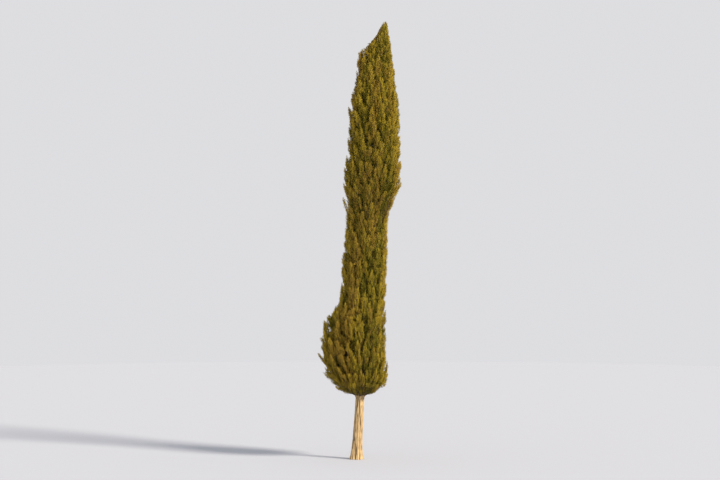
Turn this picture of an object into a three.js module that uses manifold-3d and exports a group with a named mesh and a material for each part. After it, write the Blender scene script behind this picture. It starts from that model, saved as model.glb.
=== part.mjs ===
// A pencil cypress, 14 m tall, with a cleared stem and a narrow evergreen crown.
// The trunk runs from a flat cut at ground level up through the crown. Steep boughs leave it, and each
// carries one upright plume of foliage. The plumes stand in rings round the trunk, each ring turned half
// a plume from the one below, so that every plume's point fits between the feet of the next two.
// Millimetres, +Z up, +X to the right of the front view, origin at the middle of the cut.
import * as THREE from "three";
import { mergeVertices } from "three/addons/utils/BufferGeometryUtils.js";
import Module from "manifold-3d";

const wasm = await Module();
wasm.setup();

// Whole tree
const treeHeight = 14000;
const crownFoot = 2050;
const jointGap = 0.3;

// Trunk
const trunkTop = 12650;
const trunkRadiusLow = 152;
const trunkRadiusTop = 15;
const trunkTaper = 0.92;
const flareReach = 70;
const flareHeight = 260;
const flareLobes = 5;
const flareLobeShare = 0.13;
const trunkSides = 15;
const trunkRings = 20;
// The rings of its mesh stand closer together near the ground
const ringSpread = 2.2;
const evenShare = 0.35;

// The trunk leans to the right as it rises, and sways a little
const tipDrift = 900;
const tipDepthDrift = -150;
const leanPower = 1.16;
const swayReach = 32;
const swayLength = 6400;

// How far the crown reaches from the trunk's axis, on the left and on the right, by height
const reachHeights = [
  2050, 2200, 2500, 3300, 4400, 5050, 5600, 6200, 7700, 8700, 10000, 11200, 12200, 13100, 13650, treeHeight,
];
const reachLeft = [200, 740, 1100, 1520, 1320, 850, 785, 850, 840, 1060, 900, 970, 780, 500, 190, 30];
const reachRight = [200, 740, 960, 860, 780, 755, 730, 705, 550, 950, 880, 750, 530, 300, 130, 30];
// A second point stands out of the left side, just under the tip
const shoulderReach = 300;
const shoulderHeight = 12850;
const shoulderRise = 330;
const shoulderSpread = 0.7;

// Rings of plumes
const plumesPerRing = 5;
const ringCount = 6;
const firstRingMiddle = 3000;
const ringSpacing = 1760;
const lastRingTop = 12750;
const firstPlumeAngle = -0.24;
// Plumes stand up: this is how far their edges rise for each step outward, low down and at the tip
const riseFull = 1.7;
const riseTop = 1.0;
const riseStart = 2100;
const riseReached = 4600;
const riseTopStart = 9000;
// No ring is regular: its plumes lean to and fro, crowd together, and stand higher or lower
const leanReach = 0.16;
const leanLength = 1500;
const crowding = 0.12;
const crowdingStart = 0.8;
const liftReach = 170;
const liftLength = 2600;
const liftStart = 1500;

// The dense heart of a plume, between an inner and an outer share of the crown's reach
const heartSides = 8;
const heartRings = 6;
const heartSideGap = 11;
const heartOuterShare = 0.82;
const heartInnerShare = 0.4;
const heartPointPull = 0.06;
const heartEndThinning = 0.2;
const heartThinBelow = 0.39;
const heartFootGap = 25;
const heartPointGap = 90;
const heartSquareness = 0.6;
const footRingSpread = 1.5;
const heartLeastDepth = 0.15;
const heartLeastAngle = 0.012;
const heartLeaderGap = 0.08;
const heartLeaderRise = 300;
const heartTrunkGap = 45;

// Sprays that stand out of it, each on its own twig
const sprayLength = 720;
const sprayWidth = 260;
const sprayThickness = 92;
const sprayWidest = 0.36;
const sprayFirstRow = 120;
const sprayRowStep = 540;
const spraySpacing = 470;
const sprayEdgeShare = 0.88;
const sprayJitterAcross = 0.3;
const sprayJitterUp = 0.7;
const spraySmallest = 0.85;
const spraySizeSpread = 0.35;
const sprayLeanAside = 0.12;
const sprayRootShare = 0.72;
const sprayLeanMost = 0.75;
const footSprayShare = 0.55;
const footSprayRise = 1100;
const footRootMore = 0.13;
const sprayReachShare = 0.99;
const sprayReachSpread = 0.06;
const sprayTries = 4;
const retryInward = 0.24;
const retryShrink = 0.12;
const spaceMargin = 5;

// Boughs, the stems inside the plumes, and the twigs on the stems
const boughRings = 2;
const boughStart = 1900;
const boughRadius = 36;
const boughTipRadius = 20;
const boughShare = 0.42;
const boughPocket = 14;
const boughPlumeRise = 0.42;
const kneeBelowMiddle = 280;
const boughInset = 0.4;
const kneeShare = 0.5;
const stemTopShare = 0.68;
const stemTopGap = 270;
const stemTipRadius = 7;
const limbSides = 6;
const limbRings = 6;
const twigRise = 420;
const twigLowest = 0.05;
const twigHighest = 0.9;
const twigRadius = 9;
const twigTipRadius = 6;
const twigSides = 3;

// The leader: the crown's tip, on the end of the trunk
const leaderFoot = 12150;
const leaderTop = treeHeight - 12;
const leaderShareLow = 0.42;
const leaderShareTop = 0.8;
const leaderWidening = 500;
const leaderHeartTop = 13700;
const leaderHeartFill = 0.82;
const leaderRows = 5;
const leaderPerRow = 5;
const leaderFirstRow = 12450;
const leaderRowStep = 250;
const leaderRootFill = 0.5;
const leaderLeanMost = 0.95;
const leaderTopSprayLength = 620;
const leaderTopGap = 60;
const leaderSprayLength = 480;
const leaderSprayWidth = 150;
const leaderSprayThickness = 66;

const wood = new THREE.MeshStandardMaterial({ color: 0xb39a74, roughness: 0.9, metalness: 0 });
const foliage = new THREE.MeshStandardMaterial({ color: 0x64501a, roughness: 0.75, metalness: 0 });

// Numbers from 0 to 1, in an order that each seed fixes
function seededNumbers(seed) {
  let state = (seed * 7919 + 12345) >>> 0;
  return () => {
    state = (Math.imul(state, 1664525) + 1013904223) >>> 0;
    return state / 4294967296;
  };
}

function clamp(value, low, high) {
  return Math.min(Math.max(value, low), high);
}

function smooth(low, high, value) {
  const t = clamp((value - low) / (high - low), 0, 1);
  return t * t * (3 - 2 * t);
}

// Steps through a table, half straight and half eased
function alongTable(heights, values, height) {
  const last = heights.length - 1;
  if (height >= heights[last]) return values[last];
  const next = Math.max(1, heights.findIndex((h) => height < h));
  const t = clamp((height - heights[next - 1]) / (heights[next] - heights[next - 1]), 0, 1);
  const eased = (t + smooth(0, 1, t)) / 2;
  return values[next - 1] + (values[next] - values[next - 1]) * eased;
}

function wrapped(angle) {
  return Math.atan2(Math.sin(angle), Math.cos(angle));
}

// The trunk's centre line
function axisAt(height) {
  const rise = clamp(height / treeHeight, 0, 1);
  const phase = (2 * Math.PI * height) / swayLength;
  return new THREE.Vector3(
    tipDrift * rise ** leanPower + swayReach * Math.sin(phase),
    tipDepthDrift * rise + swayReach * (1 - Math.cos(phase)) * rise,
    height,
  );
}

function place(angle, radius, height) {
  return axisAt(height).add(new THREE.Vector3(Math.cos(angle) * radius, Math.sin(angle) * radius, 0));
}

function trunkRadiusAt(height) {
  const left = Math.max(1 - height / trunkTop, 0);
  const taper = trunkRadiusTop + (trunkRadiusLow - trunkRadiusTop) * left ** trunkTaper;
  return taper + flareReach * Math.exp(-height / flareHeight);
}

// The crown's outline: how far it reaches from the axis at a height, in one direction
function reachAt(height, angle) {
  const rightShare = (1 + Math.cos(angle)) / 2;
  const left = alongTable(reachHeights, reachLeft, height);
  const right = alongTable(reachHeights, reachRight, height);
  const aside = wrapped(angle - Math.PI) / shoulderSpread;
  const above = (height - shoulderHeight) / shoulderRise;
  const shoulder = shoulderReach * Math.exp(-aside * aside - above * above);
  return right * rightShare + left * (1 - rightShare) + shoulder;
}

// Every edge between plumes climbs outward from the level where it leaves the axis
function riseAt(level) {
  const up = riseFull * smooth(riseStart, riseReached, level);
  return up + (riseTop - riseFull) * smooth(riseTopStart, trunkTop, level);
}

// A place in the regular rings, turned into the angle and level where the tree really has it
function bent(angle, level) {
  const lift = Math.sin(2 * angle + level / liftLength) * smooth(crownFoot, crownFoot + liftStart, level);
  return {
    angle: angle + leanReach * Math.sin(level / leanLength) + crowding * Math.sin(2 * angle + crowdingStart),
    level: level + liftReach * lift,
  };
}

// The reverse, found step by step
function straightened(angle, level) {
  let ring = { angle, level };
  for (let i = 0; i < 10; i++) {
    const there = bent(ring.angle, ring.level);
    ring = { angle: ring.angle + angle - there.angle, level: ring.level + level - there.level };
  }
  return ring;
}

// A point of the crown by its ring angle, its ring level and its share of the crown's reach
function placeByShare(ringAngle, ringLevel, share, leastRadius = 0) {
  const { angle, level } = bent(ringAngle, ringLevel);
  let radius = 0;
  for (let i = 0; i < 8; i++) {
    radius = Math.max(share * reachAt(level + radius * riseAt(level), angle), leastRadius);
  }
  return place(angle, radius, level + radius * riseAt(level));
}

// A point's angle and radius from the axis, and its ring angle and ring level
function whereIs(point) {
  const axis = axisAt(point.z);
  const radius = Math.hypot(point.x - axis.x, point.y - axis.y);
  const angle = Math.atan2(point.y - axis.y, point.x - axis.x);
  let level = point.z;
  for (let i = 0; i < 12; i++) level = point.z - radius * riseAt(level);
  return { angle, radius, ring: straightened(angle, level) };
}

// Corners that lie together are joined, so that the geometry is one closed body
function solidOf(geometry) {
  geometry.deleteAttribute("normal");
  geometry.deleteAttribute("uv");
  const merged = mergeVertices(geometry, 0.001);
  return new wasm.Manifold(
    new wasm.Mesh({
      numProp: 3,
      vertProperties: new Float32Array(merged.attributes.position.array),
      triVerts: new Uint32Array(merged.index.array),
    }),
  );
}

function meshOf(name, solid, material) {
  const cut = solid.getMesh();
  const geometry = new THREE.BufferGeometry();
  geometry.setAttribute("position", new THREE.BufferAttribute(new Float32Array(cut.vertProperties), 3));
  geometry.setIndex(new THREE.BufferAttribute(new Uint32Array(cut.triVerts), 1));
  geometry.computeVertexNormals();
  const mesh = new THREE.Mesh(geometry, material);
  mesh.name = name;
  return mesh;
}

function largestBody(solid) {
  return solid.decompose().reduce((best, body) => (body.volume() > best.volume() ? body : best));
}

// A closed cylinder whose corners are moved: pointAt takes the share of its length and the corner's
// place in a circle of radius 1, and gives the corner's place on the tree
function shapedCylinder(sides, rings, pointAt) {
  const geometry = new THREE.CylinderGeometry(1, 1, 1, sides, rings);
  const position = geometry.attributes.position;
  for (let i = 0; i < position.count; i++) {
    const point = pointAt(position.getY(i) + 0.5, position.getX(i), -position.getZ(i));
    position.setXYZ(i, point.x, point.y, point.z);
  }
  return solidOf(geometry);
}

// A part of a curve, as a curve of its own
class Stretch extends THREE.Curve {
  constructor(whole, from, to) {
    super();
    this.whole = whole;
    this.from = from;
    this.to = to;
  }
  getPoint(t) {
    return this.whole.getPoint(this.from + (this.to - this.from) * t);
  }
}

// A tapering limb with flat ends
function limbSolid(curve, startRadius, endRadius, sides, rings) {
  return shapedCylinder(sides, rings, (share, x, y) => {
    const radius = startRadius + (endRadius - startRadius) * share;
    const along = curve.getTangent(share);
    const across = new THREE.Vector3(1, 0, 0).addScaledVector(along, -along.x).normalize();
    const over = new THREE.Vector3().crossVectors(along, across);
    return curve.getPoint(share).addScaledVector(across, x * radius).addScaledVector(over, y * radius);
  });
}

// The trunk with its root flare, or the same shape grown by a gap to cut other pieces clear of it
function trunkSolid(grown) {
  return shapedCylinder(trunkSides, trunkRings, (share, x, y) => {
    const spread = evenShare * share + (1 - evenShare) * share ** ringSpread;
    const height = (trunkTop + 2 * grown) * spread - grown;
    const angle = Math.atan2(y, x);
    const lobes = Math.exp(-height / flareHeight) * Math.cos(flareLobes * angle);
    const radius = trunkRadiusAt(height) * (1 + flareLobeShare * lobes);
    const outer = radius + grown / Math.cos(Math.PI / trunkSides);
    return place(angle, outer * Math.hypot(x, y), height);
  });
}

function plumeAt(ring, index) {
  const middle = firstRingMiddle + ring * ringSpacing;
  const lowest = ring === 0;
  return {
    name: `plume_${ring + 1}_${index + 1}`,
    seed: ring * plumesPerRing + index + 1,
    angle: firstPlumeAngle + ((index + ring / 2) * 2 * Math.PI) / plumesPerRing,
    foot: lowest ? crownFoot : middle - ringSpacing,
    middle,
    top: ring === ringCount - 1 ? lastRingTop : middle + ringSpacing,
    lowest,
    hasBough: ring < boughRings,
  };
}

// A plume widens from its point to its full share of the ring at its middle. The widths of two
// neighbours in rings one above the other add up to the same sum at every level.
function widening(t) {
  return (t + Math.sin((Math.PI / 2) * t) ** 2) / 2;
}

// Half the plume's width at a ring level, as an angle
function halfAngle(plume, level) {
  const full = Math.PI / plumesPerRing;
  if (level <= plume.foot || level >= plume.top) return 0;
  if (level > plume.middle) return full * widening((plume.top - level) / (plume.top - plume.middle));
  return plume.lowest ? full : full * widening((level - plume.foot) / (plume.middle - plume.foot));
}

// The share of the reach that the leader keeps to itself in the middle of the last ring
function leaderShareAt(height) {
  const low = leaderShareLow * smooth(leaderFoot - leaderWidening, leaderFoot, height);
  return low + (leaderShareTop - leaderShareLow) * smooth(lastRingTop, lastRingTop + leaderWidening, height);
}

function isInPlume(plume, point, margin) {
  const { angle, radius, ring } = whereIs(point);
  const away = Math.abs(wrapped(ring.angle - plume.angle));
  const aside = (halfAngle(plume, ring.level) - away) * radius * (1 - 2 * crowding);
  const leader = leaderShareAt(point.z) * reachAt(point.z, angle) + margin;
  const inner = Math.max(trunkRadiusAt(point.z) + heartTrunkGap, leader) + margin;
  const isBetweenEnds = ring.level > plume.foot + margin && ring.level < plume.top - margin;
  return isBetweenEnds && radius > inner && aside > margin;
}

// The leader has all that the last ring leaves free
function isInLeader(point, lastRing) {
  const { angle, radius } = whereIs(point);
  if (radius < leaderShareAt(point.z) * reachAt(point.z, angle)) return true;
  return !lastRing.some((plume) => isInPlume(plume, point, -2 * spaceMargin));
}

// The dense heart: a rounded outline between the plume's inner and outer faces, ring by ring
function heartSolid(plume) {
  const squared = (value) => Math.sign(value) * Math.abs(value) ** heartSquareness;
  const foot = plume.foot + (plume.lowest ? heartFootGap : 2 * heartPointGap);
  const top = plume.top - heartPointGap;
  return shapedCylinder(heartSides, heartRings, (along, x, y) => {
    const level = foot + (top - foot) * (plume.lowest ? along ** footRingSpread : along);
    const width = halfAngle(plume, level);
    const thinning = 1 - Math.min(width / heartThinBelow, 1);
    const leader = leaderShareAt(level + heartLeaderRise) + heartLeaderGap;
    const inner = Math.max(heartInnerShare + heartEndThinning * thinning, leader);
    const outer = Math.max(heartOuterShare - heartPointPull * thinning, inner + heartLeastDepth);
    const outward = (1 + squared(x)) / 2;
    const share = inner + (outer - inner) * outward;
    const least = trunkRadiusAt(level) + heartTrunkGap * (1 + outward);
    const radius = Math.max(share * reachAt(level, plume.angle), least);
    const room = Math.max(width - heartSideGap / radius, heartLeastAngle);
    return placeByShare(plume.angle + squared(y) * room, level, share, least);
  });
}

// A leaf-shaped spray of eight faces, flat to the crown, from its root to its tip
function sprayGeometry(root, tip, width, thickness) {
  const axis = axisAt(root.z);
  const outward = new THREE.Vector3(root.x - axis.x, root.y - axis.y, 0);
  const along = new THREE.Vector3().subVectors(tip, root);
  const across = new THREE.Vector3().crossVectors(along, outward).normalize();
  const over = new THREE.Vector3().crossVectors(across, along).normalize();
  const geometry = new THREE.OctahedronGeometry(1, 0);
  const position = geometry.attributes.position;
  for (let i = 0; i < position.count; i++) {
    const end = Math.round(position.getZ(i));
    const point = root.clone().addScaledVector(along, end === 0 ? sprayWidest : (end + 1) / 2);
    point.addScaledVector(across, (position.getX(i) * width) / 2);
    point.addScaledVector(over, (-position.getY(i) * thickness) / 2);
    position.setXYZ(i, point.x, point.y, point.z);
  }
  return geometry;
}

// Whether every edge of a spray keeps to its own mass's space
function sprayFits(geometry, isFree) {
  const position = geometry.attributes.position;
  for (let i = 0; i < position.count; i++) {
    const from = new THREE.Vector3().fromBufferAttribute(position, i);
    const to = new THREE.Vector3().fromBufferAttribute(position, i % 3 === 2 ? i - 2 : i + 1);
    for (const share of [0, 0.25, 0.5, 0.75]) {
      if (!isFree(new THREE.Vector3().lerpVectors(from, to, share))) return false;
    }
  }
  return true;
}

// From inside the trunk, out along the bough, and up the middle of the plume
function stemCurve(plume) {
  const rise = plume.foot + boughPlumeRise * (plume.middle - plume.foot);
  const startLevel = plume.lowest ? boughStart : rise;
  const kneeLevel = plume.middle - kneeBelowMiddle;
  const points = [
    placeByShare(plume.angle, startLevel, 0, boughInset * trunkRadiusAt(startLevel)),
    placeByShare(plume.angle, kneeLevel, kneeShare, trunkRadiusAt(kneeLevel) + 1.5 * heartTrunkGap),
    placeByShare(plume.angle, plume.top - stemTopGap, stemTopShare),
  ];
  return new THREE.CatmullRomCurve3(points, false, "centripetal");
}

// A bough, or the pocket that is cut for it: wider all round, and longer by the joint's gap
function boughSolid(plume, grown) {
  const curve = stemCurve(plume);
  const end = boughShare + (grown > 0 ? jointGap / curve.getLength() : 0);
  const stretch = new Stretch(curve, 0, end);
  return limbSolid(stretch, boughRadius + grown, boughTipRadius + grown, limbSides, limbRings);
}

// Sprays are smaller and closer together at the very foot of the crown
function sprayShareAt(plume, level) {
  if (!plume.lowest) return 1;
  return footSprayShare + (1 - footSprayShare) * smooth(crownFoot, crownFoot + footSprayRise, level);
}

// Rows of sprays over the plume's outer face. One that doesn't fit is tried nearer the middle, and
// skipped if it doesn't fit there either.
function plumeSprays(plume) {
  const next = seededNumbers(plume.seed);
  const isFree = (point) => isInPlume(plume, point, spaceMargin);
  const sprays = [];
  let row = plume.foot + sprayFirstRow;
  while (row < plume.top) {
    const full = sprayShareAt(plume, row);
    const width = halfAngle(plume, row + sprayRowStep / 2);
    const reach = reachAt(row + sprayLength * full, plume.angle);
    const columns = Math.max(1, Math.round((2 * width * reach) / (spraySpacing * full)));
    const rootShare = sprayRootShare + (footRootMore * (1 - full)) / (1 - footSprayShare);
    for (let column = 0; column < columns; column++) {
      const sideways = ((column + 0.5) / columns) * 2 - 1 + sprayJitterAcross * (next() - 0.5);
      const level = row + sprayJitterUp * sprayRowStep * (next() - 0.5);
      const length = sprayLength * (spraySmallest + spraySizeSpread * next()) * full;
      const lean = sprayLeanAside * (next() - 0.5);
      const reachShare = sprayReachShare - sprayReachSpread * next();
      for (let attempt = 0; attempt < sprayTries; attempt++) {
        const inward = (1 - retryInward * attempt) * sprayEdgeShare;
        const scale = (1 - retryShrink * attempt) * full;
        const root = placeByShare(plume.angle + sideways * inward * width, level, rootShare);
        const height = root.z + length;
        const { angle, radius } = whereIs(root);
        const tipAngle = angle + lean * inward;
        const furthest = radius + sprayLeanMost * length;
        const tip = place(tipAngle, Math.min(reachAt(height, tipAngle) * reachShare, furthest), height);
        const geometry = sprayGeometry(root, tip, sprayWidth * scale, sprayThickness * scale);
        if (height < treeHeight && sprayFits(geometry, isFree)) {
          sprays.push({ root, tip, geometry });
          break;
        }
      }
    }
    row += sprayRowStep * full;
  }
  return sprays;
}

// A three-sided twig that leaves the stem below a spray and runs up inside it
function twigSolid(stem, spray) {
  const foot = stem.getPoint(0).z;
  const rise = (spray.root.z - twigRise - foot) / (stem.getPoint(1).z - foot);
  const start = stem.getPoint(clamp(rise, twigLowest, twigHighest));
  const end = spray.root.clone().lerp(spray.tip, sprayWidest);
  const curve = new THREE.QuadraticBezierCurve3(start, spray.root, end);
  return limbSolid(curve, twigRadius, twigTipRadius, twigSides, 2);
}

// A plume is its stem, its heart, its twigs and its sprays, fused
function plumeSolid(plume, trunkClear) {
  const curve = stemCurve(plume);
  const stem = plume.hasBough ? new Stretch(curve, boughShare + jointGap / curve.getLength(), 1) : curve;
  const pieces = [heartSolid(plume), limbSolid(stem, boughTipRadius, stemTipRadius, limbSides, limbRings)];
  for (const spray of plumeSprays(plume)) {
    pieces.push(twigSolid(stem, spray), solidOf(spray.geometry));
  }
  const whole = wasm.Manifold.union(pieces).subtract(trunkClear);
  return largestBody(plume.hasBough ? whole.subtract(boughSolid(plume, boughPocket)) : whole);
}

// The leader's heart stands round the last of the trunk, cut clear of it. Sprays stand out of it
// between the points of the last ring, and one spray at the top of its stem is the tip of the tree.
function leaderSolid(trunkClear) {
  const lastRing = [];
  for (let index = 0; index < plumesPerRing; index++) lastRing.push(plumeAt(ringCount - 1, index));
  const isFree = (point) => isInLeader(point, lastRing);
  const next = seededNumbers(ringCount * plumesPerRing + 1);
  const heart = shapedCylinder(heartSides, heartRings, (share, x, y) => {
    const height = leaderFoot + (leaderHeartTop - leaderFoot) * share;
    const angle = Math.atan2(y, x);
    const least = trunkRadiusAt(height) + heartTrunkGap * (1 - share);
    const radius = Math.max(leaderHeartFill * leaderShareAt(height) * reachAt(height, angle), least);
    return place(angle, radius * Math.hypot(x, y), height);
  });
  const stem = new THREE.LineCurve3(axisAt(trunkTop - trunkRadiusTop), axisAt(leaderHeartTop));
  const topRoot = place(0, 1, leaderTop - leaderTopSprayLength);
  const pieces = [
    heart,
    limbSolid(stem, trunkRadiusTop, stemTipRadius, limbSides, limbRings),
    solidOf(sprayGeometry(topRoot, axisAt(leaderTop), leaderSprayWidth, leaderSprayWidth)),
  ];
  for (let row = 0; row < leaderRows; row++) {
    for (let i = 0; i < leaderPerRow; i++) {
      const low = leaderFirstRow + (row + 0.5 * sprayJitterUp * next()) * leaderRowStep;
      const turn = (i + row / 2 + sprayJitterAcross * (next() - 0.5)) / leaderPerRow;
      const angle = firstPlumeAngle + 2 * Math.PI * turn;
      const length = leaderSprayLength * (spraySmallest + spraySizeSpread * next());
      const height = Math.min(low + length, leaderTop - leaderTopGap);
      const radius = leaderRootFill * leaderShareAt(low) * reachAt(low, angle);
      const furthest = radius + leaderLeanMost * length;
      const root = place(angle, radius, low);
      const tip = place(angle, Math.min(sprayReachShare * reachAt(height, angle), furthest), height);
      const geometry = sprayGeometry(root, tip, leaderSprayWidth, leaderSprayThickness);
      if (sprayFits(geometry, isFree)) pieces.push(solidOf(geometry));
    }
  }
  return largestBody(wasm.Manifold.union(pieces).subtract(trunkClear));
}

const tree = new THREE.Group();
tree.name = "pencil_cypress";
const trunkClear = trunkSolid(jointGap);
tree.add(meshOf("trunk", trunkSolid(0), wood));
for (let ring = 0; ring < ringCount; ring++) {
  for (let index = 0; index < plumesPerRing; index++) {
    const plume = plumeAt(ring, index);
    if (plume.hasBough) {
      const bough = largestBody(boughSolid(plume, 0).subtract(trunkClear));
      tree.add(meshOf(`bough_${ring + 1}_${index + 1}`, bough, wood));
    }
    tree.add(meshOf(plume.name, plumeSolid(plume, trunkClear), foliage));
  }
}
tree.add(meshOf("leader_plume", leaderSolid(trunkClear), foliage));

export default tree;
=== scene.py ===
import math
from types import SimpleNamespace

import bpy
import numpy as np
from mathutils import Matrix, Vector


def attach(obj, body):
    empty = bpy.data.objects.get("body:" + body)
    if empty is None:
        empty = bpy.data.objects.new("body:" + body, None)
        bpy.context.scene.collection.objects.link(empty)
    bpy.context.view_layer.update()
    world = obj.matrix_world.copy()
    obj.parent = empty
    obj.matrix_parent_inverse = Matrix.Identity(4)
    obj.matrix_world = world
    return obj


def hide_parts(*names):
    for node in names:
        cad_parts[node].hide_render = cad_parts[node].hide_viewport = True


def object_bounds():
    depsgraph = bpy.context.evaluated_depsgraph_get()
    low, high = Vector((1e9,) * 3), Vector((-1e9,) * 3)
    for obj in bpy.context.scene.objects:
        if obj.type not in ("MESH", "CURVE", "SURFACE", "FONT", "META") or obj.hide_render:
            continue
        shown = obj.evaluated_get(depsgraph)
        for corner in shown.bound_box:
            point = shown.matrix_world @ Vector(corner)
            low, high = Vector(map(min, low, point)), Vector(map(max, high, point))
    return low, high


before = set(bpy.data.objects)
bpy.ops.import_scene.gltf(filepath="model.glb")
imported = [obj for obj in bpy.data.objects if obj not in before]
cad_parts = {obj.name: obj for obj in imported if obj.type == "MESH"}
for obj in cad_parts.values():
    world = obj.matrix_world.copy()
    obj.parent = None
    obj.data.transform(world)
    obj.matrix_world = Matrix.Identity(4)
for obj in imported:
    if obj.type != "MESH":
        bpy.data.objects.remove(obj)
cad_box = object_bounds()

# Trunk
# One stem of pale wood under thin, fibrous bark that splits into long upright strips. It grows from the
# ground, where five low root lobes swell it, and runs on up the middle of the crown, leaning to the right.
tree_height = 14.0
trunk_top = 12.65
trunk_radius_low = 0.152
trunk_radius_top = 0.015
trunk_taper = 0.92
flare_reach = 0.07
flare_height = 0.26
flare_lobes = 5
flare_lobe_share = 0.13
tip_drift = 0.9
tip_depth_drift = -0.15
lean_power = 1.16
sway_reach = 0.032
sway_length = 6.4


def smooth(low, high, value):
    t = np.clip((value - low) / (high - low), 0, 1)
    return t * t * (3 - 2 * t)


def axis_at(height):
    height = np.asarray(height, float)
    rise = np.clip(height / tree_height, 0, 1)
    phase = 2 * np.pi * height / sway_length
    x = tip_drift * rise**lean_power + sway_reach * np.sin(phase)
    y = tip_depth_drift * rise + sway_reach * (1 - np.cos(phase)) * rise
    return np.stack([x, y, height], axis=-1)


def place(angle, radius, height):
    angle, radius, height = np.broadcast_arrays(angle, radius, height)
    outward = np.stack([np.cos(angle) * radius, np.sin(angle) * radius, np.zeros(angle.shape)], axis=-1)
    return axis_at(height) + outward


def trunk_radius_at(height):
    left = np.maximum(1 - height / trunk_top, 0)
    taper = trunk_radius_top + (trunk_radius_low - trunk_radius_top) * left**trunk_taper
    return taper + flare_reach * np.exp(-height / flare_height)


# Noise round a limb that meets itself after one turn, from 0 to 1
def noise_round(turn, height, cells_round, cell_height, seed):
    across = (turn % 1) * cells_round
    up = np.maximum(height, 0) / cell_height
    grid = np.random.default_rng(seed).random((int(np.max(up)) + 2, cells_round))
    column, row = np.floor(across).astype(int) % cells_round, np.floor(up).astype(int)
    beside, above = (column + 1) % cells_round, row + 1
    right, rise = smooth(0, 1, across - np.floor(across)), smooth(0, 1, up - row)
    lower = grid[row, column] * (1 - right) + grid[row, beside] * right
    upper = grid[above, column] * (1 - right) + grid[above, beside] * right
    return lower * (1 - rise) + upper * rise


# Closed skins over rings of points, several at a time, each with a point in the middle of both ends
def skins(rings):
    count, rows, columns, _ = rings.shape
    ends = rings[:, [0, -1]].mean(axis=2)
    corners = np.concatenate([rings.reshape(count, rows * columns, 3), ends], axis=1)
    row, column = np.meshgrid(np.arange(rows - 1), np.arange(columns), indexing="ij")
    here = row * columns + column
    beside = row * columns + (column + 1) % columns
    first = np.arange(columns)
    second = (first + 1) % columns
    last = (rows - 1) * columns
    low_end = np.full(columns, rows * columns)
    faces = [
        np.stack([here, beside, beside + columns], axis=-1),
        np.stack([here, beside + columns, here + columns], axis=-1),
        np.stack([second, first, low_end], axis=-1),
        np.stack([last + first, last + second, low_end + 1], axis=-1),
    ]
    one_skin = np.concatenate([face.reshape(-1, 3) for face in faces])
    shift = (rows * columns + 2) * np.arange(count)
    return corners.reshape(-1, 3), (one_skin + shift[:, None, None]).reshape(-1, 3)


def piece_from(name, corners, faces, material, is_smooth):
    mesh = bpy.data.meshes.new(name)
    mesh.vertices.add(len(corners))
    mesh.vertices.foreach_set("co", np.ravel(corners).astype(np.float32))
    mesh.loops.add(faces.size)
    mesh.loops.foreach_set("vertex_index", np.ravel(faces).astype(np.int32))
    mesh.polygons.add(len(faces))
    mesh.polygons.foreach_set("loop_start", np.arange(0, faces.size, faces.shape[1], dtype=np.int32))
    mesh.polygons.foreach_set("use_smooth", np.full(len(faces), is_smooth))
    mesh.materials.append(material)
    mesh.update(calc_edges=True)
    piece = bpy.data.objects.new(name, mesh)
    bpy.context.scene.collection.objects.link(piece)
    return piece


# The bark's mesh is finest on the bare stem. Its strips, its fibres and its colours follow.
bark_columns = 208
bark_fine_step = 0.018
bark_fine_top = 2.6
bark_coarse_step = 0.15
strips_round = 26
strip_length = 0.42
long_strip_share = 1.6
strip_depth = 0.013
strip_edge = 0.19
fibres_round = 70
fibre_length = 0.26
fibre_depth = 0.008
fibre_edge = 0.8
bark_twist = 0.025
wanders_round = 5
wander_length = 0.9
bark_wander = 0.018
bark_seed = 1
strip_tint = 0.21
fibre_tint = 0.17
bark_furrow = (0.13, 0.082, 0.040, 1)
bark_side = (0.41, 0.275, 0.130, 1)
bark_ridge = (0.70, 0.500, 0.26, 1)


# How far the bark stands out or in, from -1 to 1: flat strips between narrow furrows, which part and meet
# again, and finer fibres all over them
def bark_relief(turn, height, seed, strips_round, fibres_round):
    wander = bark_wander * (noise_round(turn, height, wanders_round, wander_length, seed + 2) - 0.5)
    turn = turn + wander + bark_twist * height
    half_strip = 0.5 / strips_round
    long_strip = long_strip_share * strip_length
    short_strips = noise_round(turn, height, strips_round, strip_length, seed)
    long_strips = noise_round(turn + half_strip, height, strips_round, long_strip, seed + 3)
    strip = smooth(0, strip_edge, np.abs(short_strips + long_strips - 1))
    fibres = noise_round(turn, height, fibres_round, fibre_length, seed + 1)
    fibre = smooth(0, fibre_edge, np.abs(2 * fibres - 1))
    return 2 * strip - 1, 2 * fibre - 1


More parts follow.
